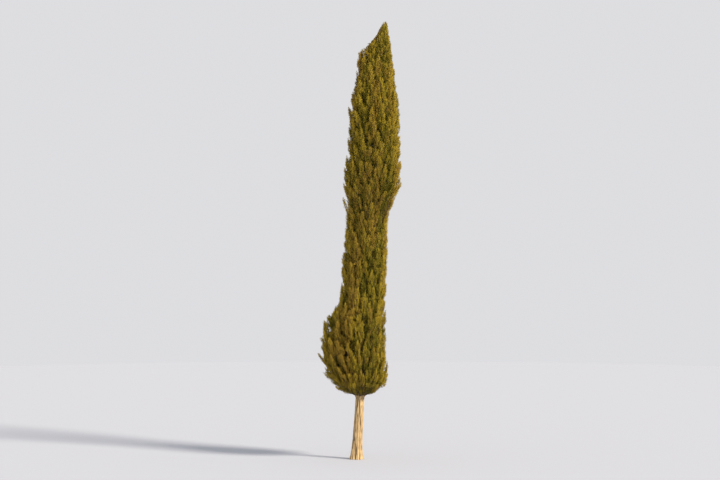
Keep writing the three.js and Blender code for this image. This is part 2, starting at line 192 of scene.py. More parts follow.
def bark_material(name):
    material = bpy.data.materials.new(name)
    material.use_nodes = True
    nodes, links = material.node_tree.nodes, material.node_tree.links
    shader = nodes["Principled BSDF"]
    shader.inputs["Roughness"].default_value = 0.88
    shader.inputs["Specular IOR Level"].default_value = 0.25
    where = nodes.new("ShaderNodeTexCoord")
    stretch = nodes.new("ShaderNodeMapping")
    stretch.inputs["Scale"].default_value = (1, 1, 0.06)
    fibres = nodes.new("ShaderNodeTexNoise")
    fibres.inputs["Scale"].default_value = 75
    fibres.inputs["Detail"].default_value = 8
    fibres.inputs["Roughness"].default_value = 0.74
    relief = nodes.new("ShaderNodeAttribute")
    relief.attribute_name = "relief"
    blend = nodes.new("ShaderNodeMath")
    blend.operation = "MULTIPLY_ADD"
    blend.inputs[1].default_value = 0.80
    colours = nodes.new("ShaderNodeValToRGB")
    colours.color_ramp.elements[0].position = 0.38
    colours.color_ramp.elements[0].color = bark_furrow
    colours.color_ramp.elements[1].position = 0.84
    colours.color_ramp.elements[1].color = bark_ridge
    middle = colours.color_ramp.elements.new(0.56)
    middle.color = bark_side
    bump = nodes.new("ShaderNodeBump")
    bump.inputs["Strength"].default_value = 0.75
    bump.inputs["Distance"].default_value = 0.005
    links.new(where.outputs["Object"], stretch.inputs["Vector"])
    links.new(stretch.outputs["Vector"], fibres.inputs["Vector"])
    links.new(relief.outputs["Fac"], blend.inputs[0])
    links.new(fibres.outputs["Fac"], blend.inputs[2])
    links.new(blend.outputs["Value"], colours.inputs["Fac"])
    links.new(colours.outputs["Color"], shader.inputs["Base Color"])
    links.new(fibres.outputs["Fac"], bump.inputs["Height"])
    links.new(bump.outputs["Normal"], shader.inputs["Normal"])
    return material


def add_relief(piece, values):
    attribute = piece.data.attributes.new("relief", "FLOAT", "POINT")
    attribute.data.foreach_set("value", np.ravel(values).astype(np.float32))


fine_heights = np.arange(0, bark_fine_top, bark_fine_step)
coarse_heights = np.arange(bark_fine_top, trunk_top, bark_coarse_step)
trunk_heights = np.concatenate([fine_heights, coarse_heights, [trunk_top]])
trunk_turn, trunk_rise = np.meshgrid(np.arange(bark_columns) / bark_columns, trunk_heights)
trunk_angle = 2 * np.pi * trunk_turn
lobes = np.exp(-trunk_rise / flare_height) * np.cos(flare_lobes * trunk_angle)
smooth_radius = trunk_radius_at(trunk_rise) * (1 + flare_lobe_share * lobes)
strip, fibre = bark_relief(trunk_turn, trunk_rise, bark_seed, strips_round, fibres_round)
relief_scale = np.minimum(smooth_radius / trunk_radius_low, 1)
rough_radius = smooth_radius + relief_scale * (strip_depth * strip + fibre_depth * fibre) / 2
trunk_corners, trunk_faces = skins(place(trunk_angle, rough_radius, trunk_rise)[None])
bark = bark_material("fibrous_bark")
trunk = piece_from("trunk_bark", trunk_corners, trunk_faces, bark, True)
trunk_colour = strip_tint * strip + fibre_tint * fibre
add_relief(trunk, np.concatenate([np.ravel(trunk_colour), [0, 0]]))
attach(trunk, "root")
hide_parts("trunk")

# Boughs
# Steep limbs that leave the trunk in rings of five, each ring turned half a step from the one below. Each
# grows on without a break as the stem of one upright plume, under the same bark, thinner towards its tip.
crown_foot = 2.05
# How far the crown reaches from the trunk's axis, on the left and on the right, by height
reach_heights = np.array(
    [2.05, 2.2, 2.5, 3.3, 4.4, 5.05, 5.6, 6.2, 7.7, 8.7, 10.0, 11.2, 12.2, 13.1, 13.65, tree_height]
)
reach_left = np.array(
    [0.2, 0.74, 1.1, 1.52, 1.32, 0.85, 0.785, 0.85, 0.84, 1.06, 0.9, 0.97, 0.78, 0.5, 0.19, 0.03]
)
reach_right = np.array(
    [0.2, 0.74, 0.96, 0.86, 0.78, 0.755, 0.73, 0.705, 0.55, 0.95, 0.88, 0.75, 0.53, 0.3, 0.13, 0.03]
)
# A second point stands out of the left side, just under the tip
shoulder_reach = 0.30
shoulder_height = 12.85
shoulder_rise = 0.33
shoulder_spread = 0.7
# Rings of plumes
plumes_per_ring = 5
ring_count = 6
bough_rings = 2
first_ring_middle = 3.0
ring_spacing = 1.76
last_ring_top = 12.75
first_plume_angle = -0.24
# Plumes stand up: this is how far their edges rise for each step outward, low down and at the tip
rise_full = 1.7
rise_top = 1.0
rise_start = 2.1
rise_reached = 4.6
rise_top_start = 9.0
# No ring is regular: its plumes lean to and fro, crowd together, and stand higher or lower
lean_reach = 0.16
lean_length = 1.5
crowding = 0.12
crowding_start = 0.8
lift_reach = 0.17
lift_length = 2.6
lift_start = 1.5
trunk_gap = 0.045
# The leader's share of the last ring
leader_foot = 12.15
leader_share_low = 0.42
leader_share_top = 0.8
leader_widening = 0.5
# A place in the rings is found in rounds, each nearer than the one before
reach_rounds = 8
level_rounds = 12
bend_rounds = 10


def wrapped(angle):
    return np.arctan2(np.sin(angle), np.cos(angle))


# The crown's outline: how far it reaches from the axis at a height, in one direction
def reach_at(height, angle):
    def along_table(values):
        step = np.clip(np.searchsorted(reach_heights, height, side="right"), 1, len(reach_heights) - 1)
        low, high = reach_heights[step - 1], reach_heights[step]
        t = np.clip((height - low) / (high - low), 0, 1)
        eased = (t + smooth(0, 1, t)) / 2
        return values[step - 1] + (values[step] - values[step - 1]) * eased

    right_share = (1 + np.cos(angle)) / 2
    aside = wrapped(angle - np.pi) / shoulder_spread
    above = (height - shoulder_height) / shoulder_rise
    shoulder = shoulder_reach * np.exp(-aside * aside - above * above)
    return along_table(reach_right) * right_share + along_table(reach_left) * (1 - right_share) + shoulder


# The edges between plumes climb outward from the level where they leave the axis
def rise_at(level):
    up = rise_full * smooth(rise_start, rise_reached, level)
    return up + (rise_top - rise_full) * smooth(rise_top_start, trunk_top, level)


# A place in the regular rings, turned into the angle and level where the tree really has it
def bent(angle, level):
    lift = np.sin(2 * angle + level / lift_length) * smooth(crown_foot, crown_foot + lift_start, level)
    lean = lean_reach * np.sin(level / lean_length) + crowding * np.sin(2 * angle + crowding_start)
    return angle + lean, level + lift_reach * lift


def place_by_share(ring_angle, ring_level, share, least_radius=0.0):
    angle, level = bent(ring_angle, ring_level)
    radius = 0.0
    for _ in range(reach_rounds):
        radius = np.maximum(share * reach_at(level + radius * rise_at(level), angle), least_radius)
    return place(angle, radius, level + radius * rise_at(level))


# A point's angle and radius from the axis
def round_axis(points):
    from_axis = points - axis_at(points[..., 2])
    return np.arctan2(from_axis[..., 1], from_axis[..., 0]), np.hypot(from_axis[..., 0], from_axis[..., 1])


# The same, with the point's ring angle and ring level
def where_is(points):
    angle, radius = round_axis(points)
    height = points[..., 2]
    level = height
    for _ in range(level_rounds):
        level = height - radius * rise_at(level)
    ring_angle, ring_level = angle, level
    for _ in range(bend_rounds):
        there_angle, there_level = bent(ring_angle, ring_level)
        ring_angle = ring_angle + angle - there_angle
        ring_level = ring_level + level - there_level
    return angle, radius, ring_angle, ring_level


def plume_at(ring, index):
    middle = first_ring_middle + ring * ring_spacing
    lowest = ring == 0
    return SimpleNamespace(
        name=f"plume_{ring + 1}_{index + 1}",
        seed=ring * plumes_per_ring + index + 1,
        angle=first_plume_angle + (index + ring / 2) * 2 * math.pi / plumes_per_ring,
        foot=crown_foot if lowest else middle - ring_spacing,
        middle=middle,
        top=last_ring_top if ring == ring_count - 1 else middle + ring_spacing,
        lowest=lowest,
        has_bough=ring < bough_rings,
    )


# Half a plume's width at a ring level, as an angle
def half_angle(plume, level):
    def widening(t):
        t = np.clip(t, 0, 1)
        return (t + np.sin(np.pi / 2 * t) ** 2) / 2

    full = np.pi / plumes_per_ring
    above = full * widening((plume.top - level) / (plume.top - plume.middle))
    below = full * (1 if plume.lowest else widening((level - plume.foot) / (plume.middle - plume.foot)))
    inside = (level > plume.foot) & (level < plume.top)
    return np.where(inside, np.where(level > plume.middle, above, below), 0)


# The share of the reach that the leader keeps to itself in the middle of the last ring
def leader_share_at(height):
    low = leader_share_low * smooth(leader_foot - leader_widening, leader_foot, height)
    widened = smooth(last_ring_top, last_ring_top + leader_widening, height)
    return low + (leader_share_top - leader_share_low) * widened


def is_in_plume(plume, points, margin):
    angle, radius, ring_angle, ring_level = where_is(points)
    away = np.abs(wrapped(ring_angle - plume.angle))
    aside = (half_angle(plume, ring_level) - away) * radius * (1 - 2 * crowding)
    height = points[..., 2]
    leader = leader_share_at(height) * reach_at(height, angle) + margin
    inner = np.maximum(trunk_radius_at(height) + trunk_gap, leader) + margin
    is_between_ends = (ring_level > plume.foot + margin) & (ring_level < plume.top - margin)
    return is_between_ends & (radius > inner) & (aside > margin)


# The limbs, with the strips of their bark, and the collar where each leaves the trunk
bough_start = 1.9
bough_radius = 0.036
bough_tip_radius = 0.020
bough_share = 0.42
bough_plume_rise = 0.42
knee_below_middle = 0.28
bough_inset = 0.4
knee_share = 0.5
knee_gap_share = 1.5
stem_top_share = 0.68
stem_top_gap = 0.27
stem_tip_radius = 0.007
limb_columns = 16
limb_rows = 64
limb_strips = 5
limb_fibres = 8
limb_relief = 0.0035
limb_seed = 10
limb_tint = 0.2
# Away from the trunk the limbs' bark is painted darker, as painted shade of the crown's inside
limb_painted_shade = 0.38
collar_swell = 0.55
collar_length = 0.11


def unit(vectors):
    return vectors / np.linalg.norm(vectors, axis=-1, keepdims=True)


# A smooth curve through points that stand unevenly far apart, at shares of it from 0 to 1
def curve_through(points, shares):
    points = np.array([2 * points[0] - points[1], *points, 2 * points[-1] - points[-2]])
    spans = len(points) - 3
    span = np.minimum((shares * spans).astype(int), spans - 1)
    t = (shares * spans - span)[:, None]
    steps = np.sqrt(np.linalg.norm(np.diff(points, axis=0), axis=1))
    before, inside, after = (steps[span + i][:, None] for i in range(3))
    p0, p1, p2, p3 = (points[span + i] for i in range(4))
    leave = ((p1 - p0) / before - (p2 - p0) / (before + inside) + (p2 - p1) / inside) * inside
    arrive = ((p2 - p1) / inside - (p3 - p1) / (inside + after) + (p3 - p2) / after) * inside
    square = (3 * (p2 - p1) - 2 * leave - arrive) * t**2
    return p1 + leave * t + square + (2 * (p1 - p2) + leave + arrive) * t**3


# From inside the trunk, out along the bough, and up the middle of the plume
def stem_points(plume):
    start_level = plume.foot + bough_plume_rise * (plume.middle - plume.foot)
    if plume.lowest:
        start_level = bough_start
    knee_level = plume.middle - knee_below_middle
    start_radius = bough_inset * trunk_radius_at(start_level)
    knee_radius = trunk_radius_at(knee_level) + knee_gap_share * trunk_gap
    return [
        place_by_share(plume.angle, start_level, 0, start_radius),
        place_by_share(plume.angle, knee_level, knee_share, knee_radius),
        place_by_share(plume.angle, plume.top - stem_top_gap, stem_top_share),
    ]


# Rings of points round lines, several at a time
def rings_round(lines, radii, columns):
    along = unit(np.gradient(lines, axis=1))
    across = unit(np.array([1, 0, 0]) - along * along[..., :1])
    over = np.cross(along, across)
    turn = 2 * np.pi * np.arange(columns) / columns
    ring = across[:, :, None] * np.cos(turn)[:, None] + over[:, :, None] * np.sin(turn)[:, None]
    return lines[:, :, None] + ring * (radii[..., None] if radii.ndim == 3 else radii[:, :, None, None])


plumes = [plume_at(ring, index) for ring in range(ring_count) for index in range(plumes_per_ring)]
limb_shares = np.linspace(0, 1, limb_rows)
limb_turn, limb_share_grid = np.meshgrid(np.arange(limb_columns) / limb_columns, limb_shares)
for name, has_bough in (("boughs", True), ("upper_stems", False)):
    carried = [plume for plume in plumes if plume.has_bough == has_bough]
    lines = np.array([curve_through(stem_points(plume), limb_shares) for plume in carried])
    shares, radii = [bough_share, 1], [bough_tip_radius, stem_tip_radius]
    if has_bough:
        shares, radii = [0, *shares], [bough_radius, *radii]
    radius = np.interp(limb_shares, shares, radii)
    from_axis = np.linalg.norm((lines - axis_at(lines[..., 2]))[..., :2], axis=-1)
    outside = np.maximum(from_axis - trunk_radius_at(lines[..., 2]), 0)
    swollen = radius * (1 + collar_swell * np.exp(-outside / collar_length))
    length = np.linalg.norm(np.diff(lines, axis=1), axis=-1).sum(axis=1)
    strips = []
    for plume, reached in zip(carried, length):
        seed = limb_seed + plume.seed
        strips.append(bark_relief(limb_turn, limb_share_grid * reached, seed, limb_strips, limb_fibres)[0])
    strips = np.array(strips)
    rough = swollen[..., None] * (1 + limb_relief / bough_radius * strips)
    corners, faces = skins(rings_round(lines, rough, limb_columns))
    limbs = piece_from(name, corners, faces, bark, True)
    # Painted shade: the bark darkens with distance from the trunk, so the collars stay as pale as the trunk
    shade = limb_painted_shade * (1 - np.exp(-outside / collar_length))
    limb_colour = limb_tint * strips - shade[..., None]
    ends = np.zeros((len(carried), 2))
    add_relief(limbs, np.concatenate([limb_colour.reshape(len(carried), -1), ends], axis=1))
    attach(limbs, "root")
    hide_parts(*[plume.name for plume in carried])
    if has_bough:
        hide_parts(*[plume.name.replace("plume", "bough") for plume in carried])

# Shoots
# The stems carry upright leafy shoots all round the outer face of their plume, where the plume's solid has
# its sprays. Each is a thin brown twig with side twigs, and both end in short green sprays.
# The same rows, sizes and tries as the solids' sprays have
row_start = 0.12
jitter_across = 0.3
jitter_up = 0.7
smallest = 0.85
size_spread = 0.35
lean_aside = 0.12
lean_most = 0.75
foot_share = 0.55
foot_rise = 1.1
foot_root_more = 0.13
tries = 4
retry_inward = 0.24
retry_shrink = 0.12
space_margin = 0.005
widest = 0.36
edge_shares = (0, 0.25, 0.5, 0.75, 1)
twig_rise = 0.42
twig_lowest = 0.05
twig_highest = 0.9
large_kind = SimpleNamespace(
    length=0.72, width=0.26, thickness=0.092, row_step=0.54, spacing=0.47, edge_share=0.88,
    root_share=0.72, reach_share=0.99, reach_spread=0.06, depth=0.10, side_twigs=8, sprays=4,
    end_sprays=6, spray_length=0.16, twig_radius=0.009, tone=0.10,
)


# Numbers from 0 to 1, in an order that each seed fixes
def seeded_numbers(seed):
    state = (seed * 7919 + 12345) % 2**32
    while True:
        state = (state * 1664525 + 1013904223) % 2**32
        yield state / 2**32


# The directions across a shoot's flat leaf shape and out of its face
def shoot_frame(root, tip):
    outward = (root - axis_at(root[..., 2])) * [1, 1, 0]
    along = tip - root
    across = unit(np.cross(along, outward))
    return across, unit(np.cross(across, along))


# Points all along the edges of that shape
def shoot_edges(root, tip, across, over, width, thickness):
    middle = root + (tip - root) * widest
    sides = [across * width / 2, over * thickness / 2, -across * width / 2, -over * thickness / 2]
    corners = np.array([root, tip] + [middle + side for side in sides])
    edges = [(end, side) for end in (0, 1) for side in range(2, 6)] + [(2, 3), (3, 4), (4, 5), (5, 2)]
    starts, ends = corners[[a for a, _ in edges]], corners[[b for _, b in edges]]
    return np.concatenate([starts + (ends - starts) * share for share in edge_shares])


# Rows of shoots over the plume's outer face. One that doesn't fit is tried nearer the middle, and
# skipped if it doesn't fit there either.
def shoots_of(plume):
    kind = large_kind
    draw = seeded_numbers(plume.seed)
    shoots = []
    row = plume.foot + row_start
    while row < plume.top:
        full = 1.0
        if plume.lowest:
            full = foot_share + (1 - foot_share) * float(smooth(crown_foot, crown_foot + foot_rise, row))
        width = float(half_angle(plume, row + kind.row_step / 2))
        reach = float(reach_at(row + kind.length * full, plume.angle))
        columns = max(1, math.floor(2 * width * reach / (kind.spacing * full) + 0.5))
        root_share = kind.root_share + foot_root_more * (1 - full) / (1 - foot_share)
        for column in range(columns):
            sideways = (column + 0.5) / columns * 2 - 1 + jitter_across * (next(draw) - 0.5)
            level = row + jitter_up * kind.row_step * (next(draw) - 0.5)
            length = kind.length * (smallest + size_spread * next(draw)) * full
            lean = lean_aside * (next(draw) - 0.5)
            reach_share = kind.reach_share - kind.reach_spread * next(draw)
            for attempt in range(tries):
                inward = (1 - retry_inward * attempt) * kind.edge_share
                scale = (1 - retry_shrink * attempt) * full
                root = place_by_share(plume.angle + sideways * inward * width, level, root_share)
                height = root[2] + length
                angle, radius, _, _ = where_is(root)
                tip_angle = angle + lean * inward
                furthest = radius + lean_most * length
                tip = place(tip_angle, min(reach_at(height, tip_angle) * reach_share, furthest), height)
                across, over = shoot_frame(root, tip)
                edges = shoot_edges(root, tip, across, over, kind.width * scale, kind.thickness * scale)
                if height < tree_height and is_in_plume(plume, edges, space_margin).all():
                    shoots.append((root, tip, across, over, scale))
                    break
        row += kind.row_step * full
    return shoots


# Where a shoot's twig leaves the stem
def twig_start(line, root):
    rise = (root[2] - twig_rise - line[0, 2]) / (line[-1, 2] - line[0, 2])
    return line[round(min(max(rise, twig_lowest), twig_highest) * (len(line) - 1))]


def bezier(control, t):
    first, middle, last = (control[..., i, None, :] for i in range(3))
    t = t[..., None]
    return first * (1 - t) ** 2 + middle * 2 * t * (1 - t) + last * t**2


# Side twigs stand in a spiral, from near the shoot's root to near its tip
golden_turn = math.pi * (3 - math.sqrt(5))
side_first = 0.10
side_last = 0.86
side_jitter = 0.5
side_drop = 0.30
side_bow = 0.45
side_bow_out = 0.25
foot_fullness = 0.5
point_fullness = 0.7
spray_overhang = 0.3
spray_room_share = 0.92
twig_below_root = 0.58
twig_end_share = 0.94
end_twig_start = 0.60
twig_rows = 7
bend_rows = 4


# All the shoots of one kind, with their twigs and side twigs as curves
def grown(shoots, starts, kind, rng):
    root, tip, across, over, scale = (np.array(part) for part in zip(*shoots))
    along = tip - root
    length = np.linalg.norm(along, axis=1)
    inner = np.stack([starts, root, root + along * widest], axis=1)
    bend = bezier(inner, np.broadcast_to(np.linspace(0, 1, bend_rows), (len(root), bend_rows)))
    straight_shares = np.linspace(widest, twig_end_share, twig_rows - bend_rows + 1)[1:]
    straight = root[:, None] + along[:, None] * straight_shares[:, None]
    main = np.concatenate([bend, straight], axis=1)

    count = kind.side_twigs
    number = np.arange(count)
    spot = (number + 0.5 + side_jitter * (rng.random((len(root), count)) - 0.5)) / count
    end_share = side_first + (side_last - side_first) * spot
    below = foot_fullness + (1 - foot_fullness) * end_share / widest
    above = ((1 - end_share) / (1 - widest)) ** point_fullness
    fullness = np.where(end_share < widest, below, above)
    turn = golden_turn * number + 2 * np.pi * rng.random((len(root), 1))
    half_width = kind.width / 2 - spray_overhang * kind.spray_length
    sideways = np.cos(turn) * fullness * scale[:, None] * half_width
    outward = np.sin(turn) * fullness * scale[:, None] * kind.depth / 2
    offset = across[:, None] * sideways[..., None] + over[:, None] * outward[..., None]
    end = root[:, None] + along[:, None] * end_share[..., None] + offset
    base_share = end_share - side_drop
    on_bend = bezier(inner, np.clip((base_share + twig_below_root) / (widest + twig_below_root), 0, 1))
    on_line = root[:, None] + along[:, None] * base_share[..., None]
    base = np.where((base_share > widest)[..., None], on_line, on_bend)
    control = base + (end - base) * side_bow + offset * side_bow_out
    sides = np.stack([base, control, end], axis=2)

    spray_room = (spray_room_share * kind.spray_length * scale / length)[:, None]
    last_start = root + along * end_twig_start
    last_end = root + along * (1 - spray_room)
    last = np.stack([last_start, (last_start + last_end) / 2, last_end], axis=1)
    return SimpleNamespace(main=main, sides=sides, last=last, scale=scale)


# How sprays point, how far out they may stand, and what makes their tone
first_side_spray = 0.35
spray_up = 0.85
spray_aside = 0.7
spray_aside_tip = 0.18
short_step = 0.02
nearly_nothing = 1e-6
reach_allowance = 0.935
reach_allowance_spread = 0.05
tip_beyond = 1.15
leader_top = tree_height - 0.012
seam_overlap = 0.12
# Sprays further out on the crown's face take lighter tones, partly as young growth and partly as painted
# light
young_and_painted_light_depth = 0.55
young_and_painted_light_tone = 0.62
end_tone = 0.32
shoot_tone_spread = 0.20
spray_tone_spread = 0.35
plume_tone_spread = 0.12
tone_steps = (0.25, 0.55, 0.83)
brown_number = 4
brown_share = 0.10
brown_depth = 0.7
streaks_round = 15
streak_length = 4.0
streak_tone = 1.20
streak_seed = 31
brown_streak_seed = 32
brown_streak_start = 0.45
plume_seed = 5
plume_draws = np.random.default_rng(plume_seed).random((len(plumes), 2))
plume_tones = np.append(plume_tone_spread * (plume_draws[:, 0] - 0.5), 0)
plume_browns = np.append(2 * plume_draws[:, 1] ** 2, 0)


# Sprays along side twigs: where each starts, which way it points, how long it is
def sprays_on(control, count, first, spray_length, rng):
    share = np.broadcast_to(np.linspace(first, 1, count), (len(control), count))
    base = bezier(control, share)
    tangent = unit(bezier(control, share + short_step) - base)
    side = unit(np.cross(tangent, [0.0, 0.0, 1.0]) + [nearly_nothing, 0, 0])
    over = np.cross(side, tangent)
    turn = (golden_turn * np.arange(count) + 2 * np.pi * rng.random((len(control), 1)))[..., None]
    aside = (spray_aside + (spray_aside_tip - spray_aside) * share)[..., None]
    spread = (side * np.cos(turn) + over * np.sin(turn)) * aside
    direction = unit(tangent + [0, 0, spray_up] + spread)
    length = spray_length[:, None] * (smallest + size_spread * rng.random(share.shape))
    return base, direction, length


# The sprays of some shoots, each with the number of its tone, from deep green to golden, or brown. Upright
# streaks of one tone run on over many shoots. What stands nearer a tip is lighter, and what stands further
# out is lighter as well, partly as young growth and partly as painted light.
def leafed(shoot, kind, owners, rng, is_own):
    shoot_tone = kind.tone + plume_tones[owners] + shoot_tone_spread * (rng.random(len(owners)) - 0.5)
    on_sides = np.repeat(np.arange(len(owners)), kind.side_twigs)
    groups = [
        (shoot.sides.reshape(-1, 3, 3), kind.sprays, first_side_spray, on_sides),
        (shoot.last, kind.end_sprays, 0.0, np.arange(len(owners))),
    ]
    grown_sprays = []
    for control, number, first, carrier in groups:
        full_length = kind.spray_length * shoot.scale[carrier]
        base, direction, length = sprays_on(control, number, first, full_length, rng)
        tips = base + direction * tip_beyond * length[..., None]
        angle, radius = round_axis(tips)
        depth = radius / reach_at(tips[..., 2], angle)
        turn = angle / (2 * np.pi)
        streak = noise_round(turn, tips[..., 2], streaks_round, streak_length, streak_seed)
        # Painted light: the further out a spray stands, the lighter its tone
        value = shoot_tone[carrier][:, None] + young_and_painted_light_tone * smooth(young_and_painted_light_depth, 1.0, depth)
        value = value + end_tone * np.linspace(0, 1, number)
        value = value + spray_tone_spread * (rng.random(length.shape) - 0.5)
        tone = np.searchsorted(tone_steps, value + streak_tone * (streak - 0.5))
        brown_streak = noise_round(turn, tips[..., 2], streaks_round, streak_length, brown_streak_seed)
        brown_chance = smooth(brown_streak_start, 1, brown_streak)
        is_brown_twig = rng.random(len(control)) < brown_share * plume_browns[owners[carrier]]
        is_brown = is_brown_twig[:, None] | (rng.random(length.shape) < brown_chance)
        tone[is_brown & (depth > brown_depth)] = brown_number
        furthest = reach_allowance + reach_allowance_spread * rng.random(length.shape)
        keep = is_own(tips) & (depth < furthest) & (tips[..., 2] < leader_top)
        grown_sprays.append((base[keep], direction[keep], length[keep], tone[keep]))
    return grown_sprays


stem_points_along = np.linspace(0, 1, 101)
plume_lines = [curve_through(stem_points(plume), stem_points_along) for plume in plumes]
twigs = []
sprays = []
for number, plume in enumerate(plumes):
    rng = np.random.default_rng([plume.seed, 0])
    shoots = shoots_of(plume)
    starts = np.array([twig_start(plume_lines[number], shoot[0]) for shoot in shoots])
    shoot = grown(shoots, starts, large_kind, rng)
    owners = np.full(len(shoots), number)
    sprays += leafed(shoot, large_kind, owners, rng, lambda tips: is_in_plume(plume, tips, -seam_overlap))
    twigs.append((shoot, large_kind))

# The leader
# The crown's tip is the end of the trunk itself, with close, short shoots all round it. The topmost one
# is the tip of the tree, and the others fill what the points of the last ring leave free.
leader_heart_top = 13.7
leader_rows = 5
leader_per_row = 5
leader_first_row = 12.45
leader_row_step = 0.25
leader_root_fill = 0.5
leader_lean_most = 0.95
leader_top_length = 0.62
leader_top_gap = 0.06
leader_top_root_radius = 0.001
leader_twig_drop = 0.22
leader_seed = 99
leader_kind = SimpleNamespace(
    length=0.48, width=0.15, thickness=0.066, reach_share=0.99, depth=0.07, side_twigs=7, sprays=4,
    end_sprays=5, spray_length=0.12, twig_radius=0.005, tone=0.10,
)
last_ring = [plume for plume in plumes if plume.top == last_ring_top]


# The leader has all that the last ring leaves free
def is_in_leader(points):
    angle, radius = round_axis(points)
    own = radius < leader_share_at(points[..., 2]) * reach_at(points[..., 2], angle)
    taken = np.any([is_in_plume(plume, points, -2 * space_margin) for plume in last_ring], axis=0)
    return own | ~taken


def leader_shoots():
    draw = seeded_numbers(ring_count * plumes_per_ring + 1)
    top_root = place(0, leader_top_root_radius, leader_top - leader_top_length)
    top_tip = axis_at(leader_top)
    shoots = [(top_root, top_tip, *shoot_frame(top_root, top_tip), 1.0)]
    for row in range(leader_rows):
        for i in range(leader_per_row):
            low = leader_first_row + (row + 0.5 * jitter_up * next(draw)) * leader_row_step
            turn = (i + row / 2 + jitter_across * (next(draw) - 0.5)) / leader_per_row
            angle = first_plume_angle + 2 * np.pi * turn
            length = leader_kind.length * (smallest + size_spread * next(draw))
            height = min(low + length, leader_top - leader_top_gap)
            radius = leader_root_fill * leader_share_at(low) * reach_at(low, angle)
            furthest = radius + leader_lean_most * length
            root = place(angle, radius, low)
            tip = place(angle, min(leader_kind.reach_share * reach_at(height, angle), furthest), height)
            across, over = shoot_frame(root, tip)
            edges = shoot_edges(root, tip, across, over, leader_kind.width, leader_kind.thickness)
            if is_in_leader(edges).all():
                shoots.append((root, tip, across, over, 1.0))
    return shoots


shoots = leader_shoots()
starts = np.array([axis_at(min(shoot[0][2] - leader_twig_drop, leader_heart_top)) for shoot in shoots])
rng = np.random.default_rng(leader_seed)
shoot = grown(shoots, starts, leader_kind, rng)
sprays += leafed(shoot, leader_kind, np.full(len(shoots), len(plumes)), rng, is_in_leader)
twigs.append((shoot, leader_kind))

# Young shoots
# Where the face of the crown is still open, light reaches in and smaller shoots grow out of the nearest
# stem until it has closed. Deeper ones, long in the shade, fill the crown behind it.
# The crown's face in small squares, and the squares that one shoot covers
face_columns = 48
face_step = 0.12
face_rows = math.ceil((tree_height - crown_foot) / face_step)
row_middles = crown_foot + (np.arange(face_rows) + 0.5) * face_step
column_middles = 2 * np.pi * (np.arange(face_columns) + 0.5) / face_columns
face_reach = reach_at(row_middles[:, None], column_middles[None, :])
face_area = face_reach * 2 * np.pi / face_columns * face_step
footprint = np.array([[0.15, 0.0], [0.35, -0.3], [0.35, 0.3], [0.6, -0.2], [0.6, 0.2], [0.85, 0.0]])
narrow_reach = 0.7
narrow_least = 0.6
young_foot = 2.07
young_lowest = 2.02
young_kinds = [
    # Deep in the crown, in the darkest tone as painted shade
    SimpleNamespace(
        candidates=7000, seed=200, cover=300, shell=(0.40, 0.84), tips=(2.32, 13.86), length=0.50,
        width=0.30, root_share=0.48, reach_share=0.86, reach_spread=0.18, lean_most=0.75, depth=0.12,
        side_twigs=2, sprays=3, end_sprays=4, spray_length=0.25, twig_radius=0.007, tone=-0.50,
    ),
    # Round the crown's foot
    SimpleNamespace(
        candidates=2500, seed=300, cover=520, shell=(0.60, 1.2), tips=(2.14, 2.75), length=0.30,
        width=0.20, root_share=0.40, reach_share=1.05, reach_spread=0.30, lean_most=6.0, depth=0.10,
        side_twigs=4, sprays=3, end_sprays=5, spray_length=0.155, twig_radius=0.006, tone=-0.05,
    ),
    # At the crown's face
    SimpleNamespace(
        candidates=12000, seed=100, cover=285, shell=(0.62, 1.2), tips=(2.32, 13.86), length=0.46,
        width=0.19, root_share=0.72, reach_share=0.99, reach_spread=0.20, lean_most=0.75, depth=0.08,
        side_twigs=4, sprays=3, end_sprays=5, spray_length=0.155, twig_radius=0.006, tone=0.0,
    ),
]


# The small square of the crown's face that a point stands behind
def face_cell(points):
    angle, _ = round_axis(points)
    column = np.floor(angle / (2 * np.pi) % 1 * face_columns).astype(int)
    row = np.floor((points[..., 2] - crown_foot) / face_step).astype(int)
    return np.clip(row, 0, face_rows - 1), column


# How much green each square has in one shell of the crown, counted in sprays of one size for a square metre
def green_cover(shell):
    base, direction, length, _ = (np.concatenate(part) for part in zip(*sprays))
    middle = base + direction * length[:, None] / 2
    angle, radius = round_axis(middle)
    depth = radius / reach_at(middle[:, 2], angle)
    is_inside = (depth > shell[0]) & (depth < shell[1])
    cover = np.zeros((face_rows, face_columns))
    np.add.at(cover, face_cell(middle[is_inside]), (length[is_inside] / large_kind.spray_length) ** 2)
    return cover / face_area


def plume_of(points):
    _, radius, ring_angle, ring_level = where_is(points)
    inside = [
        (half_angle(plume, ring_level) - np.abs(wrapped(ring_angle - plume.angle))) * radius
        for plume in plumes
    ]
    return np.argmax(inside, axis=0)


def young_shoots(kind):
    rng = np.random.default_rng(kind.seed)
    angle, height, size, share = rng.random((4, kind.candidates))
    angle = 2 * np.pi * angle
    height = kind.tips[0] + (kind.tips[1] - kind.tips[0]) * height
    scale = np.clip(reach_at(height, angle) / narrow_reach, narrow_least, 1)
    low = np.maximum(height - kind.length * (smallest + size_spread * size) * scale, young_foot)
    radius = np.maximum(kind.root_share * reach_at(low, angle), trunk_radius_at(low) + trunk_gap)
    tip_radius = reach_at(height, angle) * (kind.reach_share - kind.reach_spread * share)
    tip_radius = np.minimum(tip_radius, radius + kind.lean_most * (height - low))
    root, tip = place(angle, radius, low), place(angle, tip_radius, height)
    across, over = shoot_frame(root, tip)
    along, aside = footprint[:, :1], footprint[:, 1:] * kind.width
    patch = root[:, None] + (tip - root)[:, None] * along + across[:, None] * aside * scale[:, None, None]
    rows, columns = face_cell(patch)
    spray_count = kind.side_twigs * kind.sprays + kind.end_sprays
    own_cover = spray_count * (kind.spray_length / large_kind.spray_length) ** 2
    cover = green_cover(kind.shell)
    shoots = []
    for i in range(kind.candidates):
        cells = (rows[i], columns[i])
        if cover[cells].mean() < kind.cover:
            np.add.at(cover, cells, own_cover * scale[i] ** 2 / len(footprint) / face_area[cells])
            shoots.append((root[i], tip[i], across[i], over[i], scale[i]))
    return shoots


